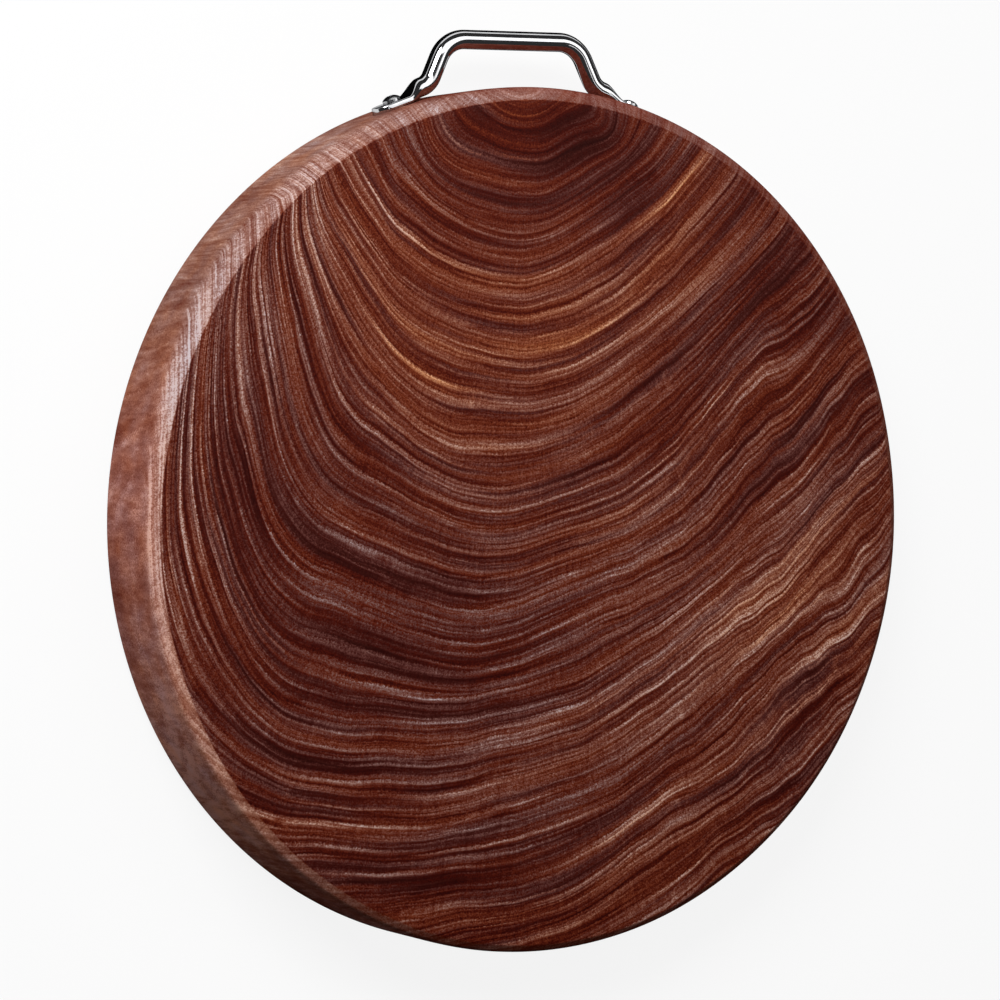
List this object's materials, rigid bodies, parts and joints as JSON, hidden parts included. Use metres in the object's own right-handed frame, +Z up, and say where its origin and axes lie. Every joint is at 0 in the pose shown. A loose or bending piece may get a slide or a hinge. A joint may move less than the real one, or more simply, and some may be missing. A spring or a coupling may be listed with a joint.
{
  "type": "round chopping block",
  "caption": "Round hardwood chopping block with chamfered edges and a bent steel carrying handle screwed to its rim.",
  "frame": {"origin": "centre of the underside, on the block's axis", "axes": "+Z up through the block's thickness to the working face, +Y from the block's axis to the middle of the handle, +X to the right when the working face is seen with the handle at the top"},
  "size_m": [0.38, 0.4055, 0.046],
  "materials": {
    "block_wood": "oiled, satin, dark red-brown with fine growth rings",
    "handle_steel": "mirror-polished stainless steel",
    "screw_steel": "bright stainless steel"
  },
  "bodies": {
    "root": {"block": "block_wood", "handle": "handle_steel", "left_screw": "screw_steel", "right_screw": "screw_steel"}
  },
  "joints": []
}
